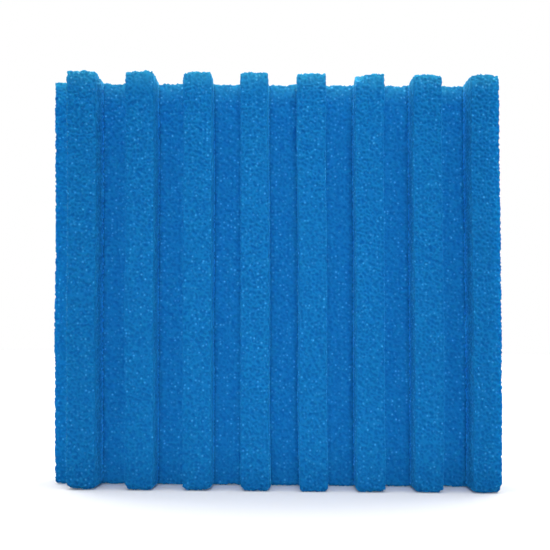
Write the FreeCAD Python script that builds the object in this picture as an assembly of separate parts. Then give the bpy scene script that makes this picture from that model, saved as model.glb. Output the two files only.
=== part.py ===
import FreeCAD, Part
import os

# Ribbed sheet of coarse open-cell filter foam, standing on one cut end.
# Millimetres. +Z is up, along the ribs. The ribs stand out towards -Y and the flat back faces +Y.
# The origin is the centre of the sheet's footprint, on its bottom end.

# Driving dimensions
sheet_width = 250.0        # across the ribs, along X
sheet_height = 230.0       # along the ribs, from cut end to cut end
backing_thickness = 25.0   # solid foam behind the grooves
rib_depth = 20.0           # from the groove floor to the front of a rib
rib_width = 16.0           # front face of one rib
rib_count = 8
side_step = 12.0           # strip of groove floor left open beside the first rib

# Sizes that follow from them
sheet_depth = backing_thickness + rib_depth
groove_width = (sheet_width - side_step - rib_count * rib_width) / (rib_count - 1)
rib_pitch = rib_width + groove_width
left_side = -sheet_width / 2
front_plane = -sheet_depth / 2
groove_floor = front_plane + rib_depth


def block(width, depth, height, corner_x, corner_y):
    """A square-cut block that stands on the bottom end, with its lowest corner at (corner_x, corner_y)."""
    corner = FreeCAD.Vector(corner_x, corner_y, 0)
    return Part.makeBox(width, depth, height, corner)


def backing_sheet():
    """The plain sheet behind the ribs. Its front is the floor of every groove."""
    return block(sheet_width, backing_thickness, sheet_height, left_side, groove_floor)


def rib(number):
    """One rib of full height on the groove floor. Rib 1 is beside the side step, and the last is flush."""
    rib_left = left_side + side_step + (number - 1) * rib_pitch
    return block(rib_width, rib_depth, sheet_height, rib_left, front_plane)


def write_node(shape, node):
    """Writes one closed solid to its own STEP file."""
    shape.exportStep("parts/" + node + ".step")


os.makedirs("parts", exist_ok=True)
write_node(backing_sheet(), "backing_sheet")
for number in range(1, rib_count + 1):
    write_node(rib(number), "rib_" + str(number))
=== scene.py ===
import math

import bpy
import numpy as np
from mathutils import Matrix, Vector

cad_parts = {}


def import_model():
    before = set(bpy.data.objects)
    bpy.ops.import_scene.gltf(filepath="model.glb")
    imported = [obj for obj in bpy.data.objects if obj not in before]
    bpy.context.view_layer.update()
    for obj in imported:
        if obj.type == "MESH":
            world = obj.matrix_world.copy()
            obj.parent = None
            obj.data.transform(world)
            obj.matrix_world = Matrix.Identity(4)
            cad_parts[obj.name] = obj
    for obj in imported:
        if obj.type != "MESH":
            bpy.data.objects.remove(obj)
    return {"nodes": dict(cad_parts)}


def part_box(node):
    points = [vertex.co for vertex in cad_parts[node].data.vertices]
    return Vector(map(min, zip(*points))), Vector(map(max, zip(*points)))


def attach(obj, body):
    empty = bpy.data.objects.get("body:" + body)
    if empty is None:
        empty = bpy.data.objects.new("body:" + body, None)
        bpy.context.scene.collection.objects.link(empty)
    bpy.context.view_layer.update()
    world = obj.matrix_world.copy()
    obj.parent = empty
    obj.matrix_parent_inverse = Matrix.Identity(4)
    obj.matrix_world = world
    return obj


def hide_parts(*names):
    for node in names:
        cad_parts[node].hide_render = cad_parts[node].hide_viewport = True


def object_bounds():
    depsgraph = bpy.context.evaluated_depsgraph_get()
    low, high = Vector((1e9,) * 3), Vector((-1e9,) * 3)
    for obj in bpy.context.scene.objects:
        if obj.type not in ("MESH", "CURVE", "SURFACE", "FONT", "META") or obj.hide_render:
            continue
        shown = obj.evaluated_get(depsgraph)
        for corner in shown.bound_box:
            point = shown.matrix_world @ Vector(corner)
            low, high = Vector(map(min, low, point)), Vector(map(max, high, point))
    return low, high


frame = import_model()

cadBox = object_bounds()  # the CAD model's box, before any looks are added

# what a user would change about the foam as a material, in metres
foam = {
    "poreSize": 0.0020,      # spacing of the pores
    "shake": 0.95,           # how uneven they are, from 0 to 1
    "strutCore": 0.10,       # how far from its middle a strut is full, as a share of the spacing
    "strutEdge": 0.34,       # and where it ends
    "layers": (0.0, 0.00024, 0.00048, 0.00072),  # depths at which the struts below a cut face are seen
    "ribStep": 0.00055,      # spacing of the points on a rib's skin
    "sheetStep": 0.0007,     # the same on the sheet behind
    "rootDepth": 0.002,      # how far a rib's skin runs into the sheet
    "fray": 0.00012,         # how far single struts stand out of a cut face
    "fraySize": 0.0026,      # and how far apart
    "sideStretch": 2.0,      # how many times longer than high the pores are on a groove's sides
    "sideRelief": 0.6,       # how deep they are there, as a share of the others
    "sideCalm": 0.8,         # how far the normals there keep to the flat face
    "sideLean": 1.2,         # and how far they lean to the front, where the light comes in
    "seed": 11,
}

# how true the block was cut, in metres
cut = {
    "edgeRadius": 0.0007,    # sharp cut edges, a little crumbled
    "headRadius": 0.0010,    # edges of the top end
    "footRadius": 0.0030,    # edges of the end that it stands on, worn rounder
    "endHeight": 0.005,      # how far up and down the ends' radii reach
    "uneven": 0.35,          # how much the ends' radii differ from rib to rib, as a share
    "wave": 0.0006,          # slow wander of the cut faces
    "waveSize": 0.045,       # and how far apart its turns are
    "tear": 0.0007,          # torn struts along the two ends
    "tearSize": 0.0042,      # and how far apart
    "knock": 0.0009,         # how far a corner is knocked in, at most
    "knockReach": 0.006,     # how far from the corner that is felt
    "knockPower": 2,         # the higher, the fewer corners are knocked in far
    "taper": 0.0154,         # how much wider the top end is than the foot, as a share
    "lean": 0.0115,          # how far the sides lean out of square, per metre of height
}

# corners that face the front, and how many times harder than the others some were knocked
cornerNames = ("leftFoot", "leftHead", "rightFoot", "rightHead")
chips = {("foamRib6", "leftHead"): 5.0, ("foamRib8", "rightFoot"): 4.0, ("foamSheet", "leftFoot"): 5.0}


def latticeTable(size, seed, margin=4):
    # random triples on a cubic lattice that covers the block, and the lattice's lowest corner
    low = np.array(cadBox[0]) - margin * size
    counts = np.ceil((np.array(cadBox[1]) - low) / size).astype(int) + margin + 1
    values = np.random.default_rng(seed).random((*counts, 3), dtype=np.float32)
    return low, counts, values.reshape(-1, 3)


def cellField(points, size, seed):
    # one centre in each cell of a cubic lattice, shaken about; gives how much further the third nearest
    # centre is than the nearest, in cells: 0 on a strut, where three cells meet, and large inside a pore
    low, counts, values = latticeTable(size, seed)
    scaled = ((points - low) / size).astype(np.float32)
    home = np.floor(scaled).astype(np.int64)
    part = scaled - home
    base = (home[:, 0] * counts[1] + home[:, 1]) * counts[2] + home[:, 2]
    shaken = 0.5 + (values - 0.5) * foam["shake"]
    first = np.full(len(points), np.inf, np.float32)
    second, third = first.copy(), first.copy()
    for i, j, k in np.ndindex(3, 3, 3):
        offset = ((i - 1) * counts[1] + (j - 1)) * counts[2] + (k - 1)
        away = shaken[base + offset] + np.array([i - 1, j - 1, k - 1], np.float32) - part
        away = np.einsum("ij,ij->i", away, away)
        lower = np.minimum(away, first)
        away = np.maximum(away, first)
        first = lower
        lower = np.minimum(away, second)
        away = np.maximum(away, second)
        second = lower
        third = np.minimum(away, third)
    return np.sqrt(third) - np.sqrt(first)


def slowNoise(points, size, seed):
    # random triples on a cubic lattice, blended smoothly between its points, from -1 to 1
    low, counts, values = latticeTable(size, seed)
    scaled = (points - low) / size
    home = np.floor(scaled).astype(np.int64)
    part = scaled - home
    part = part * part * (3 - 2 * part)
    base = (home[:, 0] * counts[1] + home[:, 1]) * counts[2] + home[:, 2]
    total = np.zeros((len(points), 3))
    for i, j, k in np.ndindex(2, 2, 2):
        weight = np.prod(np.where(np.array([i, j, k]) == 1, part, 1 - part), axis=1)
        total += weight[:, None] * values[base + (i * counts[1] + j) * counts[2] + k]
    return total * 2 - 1


def smoothStep(value, low, high):
    # 0 below low, 1 above high, an S curve between
    t = np.clip((value - low) / (high - low), 0, 1)
    return t * t * (3 - 2 * t)


def spread(low, high, step):
    # evenly spaced places from low to high, about a step apart
    return np.linspace(low, high, max(2, round((high - low) / step)) + 1)


def skinOfBlock(xs, ys, zs):
    # the closed outer skin of a lattice of points: six grids of quads that share their rims
    places = (xs, ys, zs)
    counts = [len(p) for p in places]
    quads = []
    for axis in range(3):
        u, v = (axis + 1) % 3, (axis + 2) % 3
        iu, iv = np.meshgrid(np.arange(counts[u]), np.arange(counts[v]), indexing="ij")
        for side in (0, counts[axis] - 1):
            index = [None, None, None]
            index[axis], index[u], index[v] = np.full_like(iu, side), iu, iv
            key = (index[0] * counts[1] + index[1]) * counts[2] + index[2]
            ring = [key[:-1, :-1], key[1:, :-1], key[1:, 1:], key[:-1, 1:]]
            if side == 0:
                ring = ring[::-1]
            quads.append(np.stack([r.ravel() for r in ring], axis=1))
    keys, quads = np.unique(np.concatenate(quads), return_inverse=True)
    quads = quads.reshape(-1, 4)
    i, rest = np.divmod(keys, counts[1] * counts[2])
    j, k = np.divmod(rest, counts[2])
    return np.stack([xs[i], ys[j], zs[k]], axis=1), quads


def roundEdges(points, low, high, radius):
    # pulls the skin of a block in to a ball's radius along its edges: inner box plus radius times direction
    inner = np.clip(points, low + radius, high - radius)
    out = points - inner
    out /= np.linalg.norm(out, axis=1, keepdims=True)
    return inner + out * radius, out


def openPores(points, outward, places):
    # looks straight into the foam, layer by layer: where a layer has a strut the skin stays at its depth,
    # and where it has a pore the skin drops to the next layer
    depth = np.full(len(points), foam["layers"][-1], np.float32)
    for reach in reversed(foam["layers"][:-1]):
        gap = cellField(places - outward * reach, foam["poreSize"], foam["seed"])
        strut = 1 - smoothStep(gap, foam["strutCore"], foam["strutEdge"])
        depth = strut * reach + (1 - strut) * depth
    return depth


def handCut(points):
    # a slow wander of every cut, ends with torn struts, and sides that taper and lean a little about the
    # middle of the height; the foot stays on the floor, so nothing there is pushed down
    tall = cadBox[1].z - cadBox[0].z
    share = (points[:, 2] - cadBox[0].z) / tall
    wander = cut["wave"] * slowNoise(points, cut["waveSize"], foam["seed"] + 1)
    wander += foam["fray"] * slowNoise(points, foam["fraySize"], foam["seed"] + 3)
    wander[:, 2] *= share
    near = 1 - smoothStep(np.minimum(share, 1 - share) * tall, 0, cut["endHeight"])
    torn = cut["tear"] * near * slowNoise(points, cut["tearSize"], foam["seed"] + 2)[:, 2]
    wander[:, 2] += np.where(share < 0.5, np.maximum(torn, 0), torn)
    moved = points + wander
    moved[:, 0] *= 1 + cut["taper"] * (share - 0.5)
    moved[:, 0] -= cut["lean"] * (share - 0.5) * tall
    return moved


def knockCorners(points, low, high, depths):
    # each corner that faces the front goes in towards the middle: its depth times an S curve of distance
    moved = points.copy()
    for corner, depth in zip(np.ndindex(2, 2), depths):
        place = np.array([(low, high)[corner[0]][0], low[1], (low, high)[corner[1]][2]])
        inward = np.array([1 - 2 * corner[0], 1, 1 - 2 * corner[1]]) / math.sqrt(3)
        away = np.linalg.norm(points - place, axis=1)
        moved += (depth * (1 - smoothStep(away, 0, cut["knockReach"])))[:, None] * inward
    return moved


def sidesOf(points, outward):
    # 0 in the open, 1 on a groove's sides: how squarely a face looks across the groove;
    # the outer sides of the first and last rib are in the open
    middles = [(low[0] + high[0]) / 2 for low, high in (ribs[0], ribs[-1])]
    inside = (points[:, 0] > middles[0]) & (points[:, 0] < middles[1])
    return np.abs(outward[:, 0]) * inside


def patternPlaces(points, side):
    # where a point lies in the foam's pattern: on faces that look mostly across a groove, its depth is
    # divided by the stretch, which draws the pores out
    places = points.copy()
    depth = points[:, 1] - ribs[0][0][1]
    places[:, 1] -= depth * (side > 0.5) * (1 - 1 / foam["sideStretch"])
    return places


def cornersOf(points, outward):
    # 1 where a rib's side meets the sheet, fading to 0 along both, which sets where the grooves get extra
    # painted light: the greater of how far a point is beside the nearest rib and how far it is in front of
    # the sheet
    beside = np.min([np.maximum(low[0] - points[:, 0], points[:, 0] - high[0]) for low, high in ribs], axis=0)
    before = sheetLow[1] - points[:, 1]
    near = 1 - smoothStep(np.maximum(beside, before), 0, dyeAndPaintedLight["cornerReach"])
    return near * (outward[:, 1] < 0.5) * (np.abs(outward[:, 2]) < 0.5)


def rimOf(points):
    # 0 inside, 1 at the block's two outer sides: how near a point is to one, squared; the painted light at
    # those sides follows it
    left = (cadBox[0].x + dyeAndPaintedLight["leftRim"] - points[:, 0]) / dyeAndPaintedLight["leftRim"]
    right = (points[:, 0] - cadBox[1].x + dyeAndPaintedLight["rightRim"]) / dyeAndPaintedLight["rightRim"]
    return np.clip(np.maximum(left, right), 0, 1) ** 2


def skinPiece(name, points, quads, lean, attributes, finish):
    # one mesh from arrays, shaded smooth, with its place in its points; each normal is its own plus lean
    mesh = bpy.data.meshes.new(name)
    mesh.vertices.add(len(points))
    mesh.vertices.foreach_set("co", points.astype(np.float32).ravel())
    mesh.loops.add(quads.size)
    mesh.loops.foreach_set("vertex_index", quads.astype(np.int32).ravel())
    mesh.polygons.add(len(quads))
    mesh.polygons.foreach_set("loop_start", np.arange(0, quads.size, 4, dtype=np.int32))
    mesh.update(calc_edges=True)
    mesh.polygons.foreach_set("use_smooth", np.ones(len(quads), dtype=bool))
    normals = np.empty(points.size, np.float32)
    mesh.vertex_normals.foreach_get("vector", normals)
    normals = normals.reshape(-1, 3) + lean
    normals /= np.linalg.norm(normals, axis=1, keepdims=True)
    mesh.normals_split_custom_set_from_vertices(normals)
    for key, values in attributes.items():
        kind, field = ("FLOAT_VECTOR", "vector") if values.ndim == 2 else ("FLOAT", "value")
        layer = mesh.attributes.new(key, kind, "POINT")
        layer.data.foreach_set(field, values.astype(np.float32).ravel())
    mesh.materials.append(finish)
    piece = bpy.data.objects.new(name, mesh)
    bpy.context.scene.collection.objects.link(piece)
    return piece


def foamBlock(name, node, low, high, step, finish):
    # a block of foam that stands for one CAD node: square skin, rounded edges, pores, then how it was cut;
    # its attributes say how deep each point lies, how much painted light it gets in the grooves and at the
    # outer sides, and where it is in the pattern
    chance = np.random.default_rng(foam["seed"] + len(name) + ord(name[-1]))
    head, foot = 1 + cut["uneven"] * chance.uniform(-1, 1, 2)
    knocks = cut["knock"] * chance.random(4) ** cut["knockPower"]
    knocks *= np.array([chips.get((name, end), 1) for end in cornerNames])
    points, quads = skinOfBlock(*(spread(a, b, step) for a, b in zip(low, high)))
    atFoot = 1 - smoothStep(points[:, 2], low[2], low[2] + cut["endHeight"])
    atHead = smoothStep(points[:, 2], high[2] - cut["endHeight"], high[2])
    radius = cut["edgeRadius"] + atFoot * (cut["footRadius"] * foot - cut["edgeRadius"])
    radius += atHead * (cut["headRadius"] * head - cut["edgeRadius"])
    points, outward = roundEdges(points, low, high, radius[:, None])
    side = sidesOf(points, outward)
    places = patternPlaces(points, side)
    depth = openPores(points, outward, places)
    relief = depth * (1 - (1 - foam["sideRelief"]) * side)
    moved = handCut(knockCorners(points - outward * relief[:, None], low, high, knocks))
    depth /= foam["layers"][-1]
    # painted light in the grooves: it starts a little behind a rib's front, fills a groove's sides, grows
    # where they meet the floor, and is weaker in their pits
    front = ribs[0][0][1]
    side *= smoothStep(points[:, 1], front + dyeAndPaintedLight["edgeStart"], front + dyeAndPaintedLight["edgeEnd"])
    corners = cornersOf(points, outward)
    paintedGrooveLight = dyeAndPaintedLight["sideShare"] * side + (dyeAndPaintedLight["floorShare"] + dyeAndPaintedLight["rootShare"] * side) * corners
    paintedGrooveLight *= 1 + dyeAndPaintedLight["pitLoss"] * (0.5 - depth) * side
    attributes = {"pore": depth, "paintedGrooveLight": paintedGrooveLight, "paintedRimLight": rimOf(points), "place": places}
    lean = (foam["sideCalm"] * outward + foam["sideLean"] * np.array([0, -1, 0])) * side[:, None]
    piece = skinPiece(name, moved, quads, lean, attributes, finish)
    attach(piece, "root")
    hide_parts(node)
    print("made", name, len(quads) * 2, "triangles")


# colours of the foam, as light reflected from 0 to 1, what they are multiplied by in places, with painted
# light and shade among them, and how the foam takes the light
dyeAndPaintedLight = {
    "strut": (0.0057, 0.158, 0.417, 1),
    # painted shade: the pores are darker the deeper they go
    "paintedPoreShade": (0.0045, 0.124, 0.350, 1),
    "paintedGlint": (0.0350, 0.302, 0.660, 1),   # painted glints on single strut crossings
    "paintedGlintSize": 0.0020,                  # their spacing
    "paintedGlintEdge": 0.416,                   # how far a crossing reaches, in spacings
    "paintedGlintHeart": 0.104,                  # and how far it is full
    "paintedGlintPower": 2.3,                    # the higher, the fewer of them are bright
    "paintedTopLight": (4.9, 2.00, 1.30, 1),         # painted light at the top end, where light comes through
    "paintedTopLightReach": 0.017,                   # how far down that goes
    "paintedTopLightPower": 2.8,                     # the higher, the nearer to the end it stays
    "paintedFootShade": (0.64, 0.70, 0.76, 1),        # painted shade at the foot
    "paintedFootShadeReach": 0.030,
    "paintedFootShadePower": 2.0,
    "paintedRimLight": (1.0, 1.26, 1.24, 1),          # at the outer sides
    "leftRim": 0.020,                     # how far in that goes
    "rightRim": 0.008,
    "paintedGrooveLight": (2.9, 1.95, 2.05, 1),         # painted light in the grooves, where light comes through the ribs
    "sideShare": 0.36,                    # how much of that a groove's sides have
    "rootShare": 0.50,                    # how much more they have where they meet its floor
    "floorShare": 0.02,                   # how much the floor has there
    "cornerReach": 0.010,                 # how far from that corner it goes
    "pitLoss": 0.45,                      # how much less of it the sides' pits have than their struts
    "edgeStart": 0.0002,                  # how far behind a rib's front its sides begin to have it
    "edgeEnd": 0.0026,                    # and where they have it in full
    "grainSize": 0.0008,                  # spacing of the fine relief on the struts
    "grainDetail": 2,
    "grainStrength": 0.10,
    "strutRoughness": 0.45,               # cut struts shine a little, the pores don't
    "pitRoughness": 0.8,
    "specular": 0.008,
    "scatter": 1.0,                       # how much of the light goes into the foam before it comes back
    "depthOfLight": 0.0008,               # and how far in
}


def ramp(nodes, links, source, low, high, power=1.0):
    # 0 at low, 1 at high, straight between, then raised to a power
    span = nodes.new("ShaderNodeMapRange")
    span.inputs["From Min"].default_value = low
    span.inputs["From Max"].default_value = high
    links.new(source, span.inputs["Value"])
    bend = nodes.new("ShaderNodeMath")
    bend.operation = "POWER"
    bend.inputs[1].default_value = power
    links.new(span.outputs["Result"], bend.inputs[0])
    return bend.outputs["Value"]


def blend(nodes, links, share, first, second):
    # first where share is 0, second where it is 1
    mix = nodes.new("ShaderNodeMix")
    mix.data_type = "RGBA"
    links.new(share, mix.inputs["Factor"])
    for socket, value in (("A", first), ("B", second)):
        if isinstance(value, tuple):
            mix.inputs[socket].default_value = value
        else:
            links.new(value, mix.inputs[socket])
    return mix.outputs["Result"]


def tint(nodes, links, share, colour, factor):
    # the colour itself where share is 0, the colour times a factor where it is 1
    mix = nodes.new("ShaderNodeMix")
    mix.data_type = "RGBA"
    mix.blend_type = "MULTIPLY"
    links.new(share, mix.inputs["Factor"])
    links.new(colour, mix.inputs["A"])
    mix.inputs["B"].default_value = factor
    return mix.outputs["Result"]


def times(nodes, links, first, second):
    # one number times another
    product = nodes.new("ShaderNodeMath")
    product.operation = "MULTIPLY"
    links.new(first, product.inputs[0])
    links.new(second, product.inputs[1])
    return product.outputs["Value"]


def blueFoam():
    # struts over pores darkened as painted shade, and painted glints on a few strut crossings, then
    # multiplied by painted light at the top end, painted shade at the foot, and painted light at the outer
    # sides and in the grooves; fine relief, and pores rougher than struts
    finish = bpy.data.materials.new("blueFoam")
    finish.use_nodes = True
    nodes, links = finish.node_tree.nodes, finish.node_tree.links
    shader = nodes["Principled BSDF"]
    pattern = nodes.new("ShaderNodeAttribute")
    pattern.attribute_name = "place"
    place = pattern.outputs["Vector"]
    pore = nodes.new("ShaderNodeAttribute")
    pore.attribute_name = "pore"
    # painted shade: the deeper into a pore, the darker
    colour = blend(nodes, links, pore.outputs["Fac"], dyeAndPaintedLight["strut"], dyeAndPaintedLight["paintedPoreShade"])

    # painted glints: a few strut crossings are made brighter
    crossing = nodes.new("ShaderNodeTexVoronoi")
    crossing.inputs["Scale"].default_value = 1 / dyeAndPaintedLight["paintedGlintSize"]
    links.new(place, crossing.inputs["Vector"])
    spot = ramp(nodes, links, crossing.outputs["Distance"], dyeAndPaintedLight["paintedGlintEdge"], dyeAndPaintedLight["paintedGlintHeart"])
    tone = nodes.new("ShaderNodeSeparateColor")
    links.new(crossing.outputs["Color"], tone.inputs["Color"])
    bright = ramp(nodes, links, tone.outputs["Red"], 0, 1, dyeAndPaintedLight["paintedGlintPower"])
    colour = blend(nodes, links, times(nodes, links, spot, bright), colour, dyeAndPaintedLight["paintedGlint"])

    split = nodes.new("ShaderNodeSeparateXYZ")
    links.new(place, split.inputs["Vector"])
    top, foot = cadBox[1].z, cadBox[0].z
    # painted light: paler towards the top end
    end = ramp(nodes, links, split.outputs["Z"], top - dyeAndPaintedLight["paintedTopLightReach"], top, dyeAndPaintedLight["paintedTopLightPower"])
    colour = tint(nodes, links, end, colour, dyeAndPaintedLight["paintedTopLight"])
    # painted shade: darker towards the foot
    end = ramp(nodes, links, split.outputs["Z"], foot + dyeAndPaintedLight["paintedFootShadeReach"], foot, dyeAndPaintedLight["paintedFootShadePower"])
    colour = tint(nodes, links, end, colour, dyeAndPaintedLight["paintedFootShade"])
    # painted light at the outer sides and in the grooves
    for key in ("paintedRimLight", "paintedGrooveLight"):
        share = nodes.new("ShaderNodeAttribute")
        share.attribute_name = key
        colour = tint(nodes, links, share.outputs["Fac"], colour, dyeAndPaintedLight[key])
    links.new(colour, shader.inputs["Base Color"])

    grain = nodes.new("ShaderNodeTexNoise")
    grain.inputs["Scale"].default_value = 1 / dyeAndPaintedLight["grainSize"]
    grain.inputs["Detail"].default_value = dyeAndPaintedLight["grainDetail"]
    links.new(place, grain.inputs["Vector"])
    relief = nodes.new("ShaderNodeBump")
    relief.inputs["Strength"].default_value = dyeAndPaintedLight["grainStrength"]
    relief.inputs["Distance"].default_value = dyeAndPaintedLight["grainSize"]
    links.new(grain.outputs["Fac"], relief.inputs["Height"])
    links.new(relief.outputs["Normal"], shader.inputs["Normal"])
    sheen = nodes.new("ShaderNodeMapRange")
    sheen.inputs["To Min"].default_value = dyeAndPaintedLight["strutRoughness"]
    sheen.inputs["To Max"].default_value = dyeAndPaintedLight["pitRoughness"]
    links.new(pore.outputs["Fac"], sheen.inputs["Value"])
    links.new(sheen.outputs["Result"], shader.inputs["Roughness"])
    shader.inputs["Specular IOR Level"].default_value = dyeAndPaintedLight["specular"]
    shader.inputs["Subsurface Weight"].default_value = dyeAndPaintedLight["scatter"]
    shader.inputs["Subsurface Radius"].default_value = (1, 1, 1)  # the same for each colour
    shader.inputs["Subsurface Scale"].default_value = dyeAndPaintedLight["depthOfLight"]
    return finish


def nodeBox(node):
    # the lowest and the highest corner of a CAD node
    low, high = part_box(node)
    return np.array(low), np.array(high)


finish = blueFoam()
print("mixed", finish.name)
sheetLow, sheetHigh = nodeBox("backing_sheet")
ribNodes = sorted((n for n in frame["nodes"] if n.startswith("rib_")), key=lambda n: int(n[4:]))
ribs = [nodeBox(n) for n in ribNodes]
foamBlock("foamSheet", "backing_sheet", sheetLow, sheetHigh, foam["sheetStep"], finish)
for number, (node, (low, high)) in enumerate(zip(ribNodes, ribs), start=1):
    rooted = high + np.array([0, foam["rootDepth"], 0])
    foamBlock("foamRib" + str(number), node, low, rooted, foam["ribStep"], finish)

# the studio: where the camera stands and how it is lit
studio = {
    "lens": 52.4,
    "sensor": 36,
    "nearest": 0.01,         # nothing closer than this is drawn
    "distance": 0.4355,      # from the rib fronts
    "side": 0.0074,
    "height": 0.075,
    "pitch": 3.0,            # degrees up
    "roll": -0.48,
    "shiftX": -0.0195,
    "shiftY": 0.0650,
    "world": 0.35,           # light from all round
    "backdrop": 1.0,         # how bright the empty studio looks behind the block
    "floorSize": 60.0,       # from its middle to its edge
    "floorColour": (0.93, 0.93, 0.93, 1),
    "floorRoughness": 0.9,
    "frontPlace": (0.02, -1.0, 0.26),
    "frontAim": (0.01, 0, 0.118),
    "frontSize": (0.40, 0.55),
    "frontSpread": 31,       # degrees across; less makes the middle brighter than the sides
    "frontPower": 0.72,
    "rearPlaces": ((-2.2, 2.0, 0.9), (2.2, 2.0, 0.9)),
    "rearSpread": 50,        # degrees across
    "rearPower": 2.0,
    "topPlace": (0, 0, 2),
    "topSpread": 70,         # degrees across
    "topPower": 2.4,
    "sunAim": (0, 0, 0),     # the suns behind and above all point at the foot of the block
}


def camera():
    # stands in front of the ribs, a little to the right, and looks slightly up
    data = bpy.data.cameras.new("camera")
    data.sensor_width = studio["sensor"]
    data.lens = studio["lens"]
    data.shift_x = studio["shiftX"]
    data.shift_y = studio["shiftY"]
    data.clip_start = studio["nearest"]
    eye = bpy.data.objects.new("camera", data)
    eye.location = (studio["side"], cadBox[0].y - studio["distance"], studio["height"])
    eye.rotation_euler = (math.radians(90 + studio["pitch"]), math.radians(studio["roll"]), 0)
    bpy.context.scene.collection.objects.link(eye)
    bpy.context.scene.camera = eye


def lamp(name, kind, place, aim):
    # a light at a place, turned towards its aim
    data = bpy.data.lights.new(name, kind)
    piece = bpy.data.objects.new(name, data)
    piece.location = place
    piece.rotation_euler = (Vector(aim) - Vector(place)).to_track_quat("-Z", "Y").to_euler()
    bpy.context.scene.collection.objects.link(piece)
    return data


def lights():
    # a soft box in front, one wide sun overhead, and two behind that only the back and the sides get
    front = lamp("frontBox", "AREA", studio["frontPlace"], studio["frontAim"])
    front.shape = "RECTANGLE"
    front.size, front.size_y = studio["frontSize"]
    front.spread = math.radians(studio["frontSpread"])
    front.energy = studio["frontPower"]
    for side, place in zip(("left", "right"), studio["rearPlaces"]):
        rear = lamp(side + "RearSun", "SUN", place, studio["sunAim"])
        rear.angle = math.radians(studio["rearSpread"])
        rear.energy = studio["rearPower"]
    top = lamp("topSun", "SUN", studio["topPlace"], studio["sunAim"])
    top.angle = math.radians(studio["topSpread"])
    top.energy = studio["topPower"]


def floor():
    # one wide square that the block stands on
    half = studio["floorSize"]
    corners = [(-half, -half, 0), (half, -half, 0), (half, half, 0), (-half, half, 0)]
    mesh = bpy.data.meshes.new("floor")
    mesh.from_pydata(corners, [], [(0, 1, 2, 3)])
    paint = bpy.data.materials.new("paleFloor")
    paint.use_nodes = True
    shader = paint.node_tree.nodes["Principled BSDF"]
    shader.inputs["Base Color"].default_value = studio["floorColour"]
    shader.inputs["Roughness"].default_value = studio["floorRoughness"]
    mesh.materials.append(paint)
    ground = bpy.data.objects.new("floor", mesh)
    ground.visible_diffuse = False  # no light thrown back up at the foam
    bpy.context.scene.collection.objects.link(ground)


def world():
    # even light from all round, which the camera sees as a white backdrop
    sky = bpy.data.worlds.new("studio")
    sky.use_nodes = True
    nodes, links = sky.node_tree.nodes, sky.node_tree.links
    back = nodes["Background"]
    back.inputs["Color"].default_value = (1, 1, 1, 1)
    path = nodes.new("ShaderNodeLightPath")
    level = nodes.new("ShaderNodeMix")
    level.inputs["A"].default_value = studio["world"]
    level.inputs["B"].default_value = studio["backdrop"]
    links.new(path.outputs["Is Camera Ray"], level.inputs["Factor"])
    links.new(level.outputs["Result"], back.inputs["Strength"])
    bpy.context.scene.world = sky


camera()
floor()
world()
lights()
bpy.context.scene.view_settings.view_transform = "Standard"
print("set up the studio")
